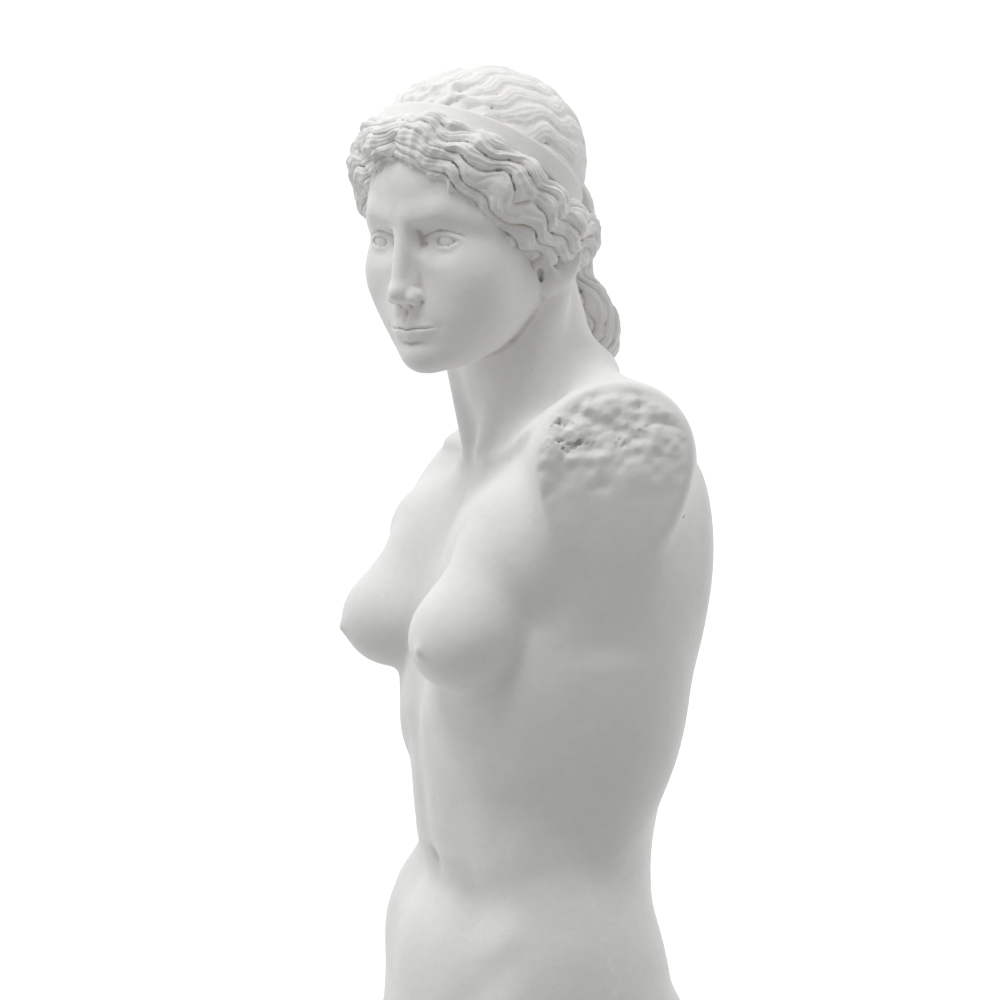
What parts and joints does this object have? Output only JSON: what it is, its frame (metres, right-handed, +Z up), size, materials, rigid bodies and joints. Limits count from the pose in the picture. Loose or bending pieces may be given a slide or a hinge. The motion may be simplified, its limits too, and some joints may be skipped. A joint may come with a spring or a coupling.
{
  "type": "plaster half-length figure sculpture",
  "caption": "Classical half-length female figure in white plaster, arms broken off, waved hair tied with a band, standing on a low base.",
  "frame": {"origin": "middle of the base's flat underside", "axes": "+Z up from the base to the crown of the head, -Y the way her chest faces, +X to the figure's own left"},
  "size_m": [0.3842, 0.2655, 0.8092],
  "materials": {
    "plaster": "matte white casting plaster"
  },
  "bodies": {
    "root": {"figure": "plaster"}
  },
  "joints": []
}
